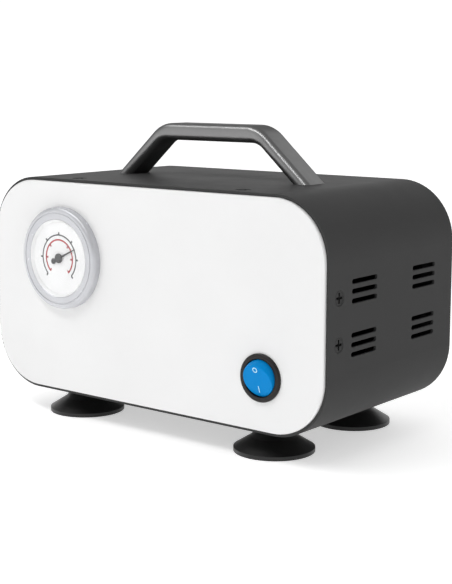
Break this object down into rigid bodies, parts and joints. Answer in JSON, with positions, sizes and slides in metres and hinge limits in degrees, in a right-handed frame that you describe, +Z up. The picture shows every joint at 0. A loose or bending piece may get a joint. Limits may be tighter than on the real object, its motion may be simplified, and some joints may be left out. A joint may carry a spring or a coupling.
{
  "type": "rotary vane vacuum pump",
  "caption": "Benchtop dry rotary vane vacuum pump in a rounded case with a gauge, round rocker switch, carrying handle, suction-cup feet and rear hose nozzles.",
  "frame": {"origin": "on the surface it stands on, under the middle of the whole object's bounding box", "axes": "+X to the right of the front panel, +Y to the back, +Z up"},
  "size_m": [0.218, 0.1373, 0.155],
  "materials": {
    "bezel_metal": "smooth pale silver",
    "black_screw": "black oxide",
    "brass": "turned",
    "capacitor": "pale moulded case",
    "carbon": "graphite",
    "copper": "enamelled copper wire",
    "dial": "white enamel",
    "fan_plastic": "moulded",
    "frame_plastic": "moulded black",
    "fuse_glass": "glass with plated caps",
    "handle_metal": "satin silver-grey",
    "inlet_plastic": "black thermoplastic",
    "lamination": "stacked sheet",
    "lens": "clear",
    "motor_steel": "grey enamel",
    "nickel": "nickel plated brass",
    "panel": "smooth white powder coat, semi-gloss",
    "pointer": "black enamel",
    "pump_metal": "machined",
    "rocker_blue": "blue, glossy",
    "rubber": "soft black rubber",
    "shell": "fine powder coat, dark grey",
    "silicone": "translucent silicone",
    "steel": "zinc plated",
    "switch_black": "black nylon"
  },
  "bodies": {
    "case": {"base_plate": "steel", "capacitor_clip": "steel", "exhaust_elbow": "brass", "exhaust_hose": "silicone", "exhaust_nozzle": "nickel", "foot_front_left": "rubber", "foot_front_right": "rubber", "foot_rear_left": "rubber", "foot_rear_right": "rubber", "foot_screws": "steel", "front_frame": "frame_plastic", "front_panel": "panel", "front_panel_screws": "steel", "gauge_bezel": "bezel_metal", "gauge_bourdon_tube": "brass", "gauge_case": "bezel_metal", "gauge_connector": "brass", "gauge_dial": "dial", "gauge_hose": "silicone", "gauge_lens": "lens", "gauge_movement": "brass", "handle": "handle_metal", "handle_screws": "steel", "inlet_nozzle": "nickel", "inlet_tee": "brass", "motor_cradle": "steel", "motor_front_bell": "pump_metal", "motor_housing": "motor_steel", "motor_rear_bell": "pump_metal", "motor_stator": "lamination", "motor_straps": "steel", "motor_windings": "copper", "nozzle_nuts": "nickel", "power_inlet": "inlet_plastic", "power_inlet_pins": "brass", "pump_cylinder": "pump_metal", "pump_front_cover": "pump_metal", "pump_rear_cover": "pump_metal", "pump_screws": "steel", "rear_frame": "frame_plastic", "rear_panel": "panel", "rear_panel_screws": "steel", "rubber_mounts": "rubber", "run_capacitor": "capacitor", "shaft_bearings": "steel", "shell": "shell", "shell_screws": "black_screw", "suction_hose": "silicone", "switch_body": "switch_black", "switch_terminals": "brass"},
    "shaft_line": {"drive_shaft": "steel", "motor_rotor": "lamination", "pump_rotor": "pump_metal", "vanes": "carbon", "cooling_fan": "fan_plastic"},
    "rocker": {"switch_rocker": "rocker_blue"},
    "pointer": {"gauge_needle": "pointer"},
    "fuse_tray": {"fuse_drawer": "inlet_plastic", "fuse": "fuse_glass"}
  },
  "joints": [
    {"name": "rocker_tilt", "type": "hinge", "parent": "case", "child": "rocker", "pos_m": [0.0724, -0.063, 0.0412], "axis": [-1, 0, 0], "range_deg": [0, 37]},
    {"name": "pointer_turn", "type": "hinge", "parent": "case", "child": "pointer", "pos_m": [-0.0569, -0.0668, 0.0862], "axis": [0, -1, 0], "range_deg": [-70, 200]},
    {"name": "shaft_spin", "type": "hinge", "parent": "case", "child": "shaft_line", "pos_m": [0, 0.004, 0.066], "axis": [1, 0, 0], "continuous": true},
    {"name": "fuse_tray_slide", "type": "slide", "parent": "case", "child": "fuse_tray", "axis": [0, 1, 0], "range_m": [0, 0.018]}
  ]
}
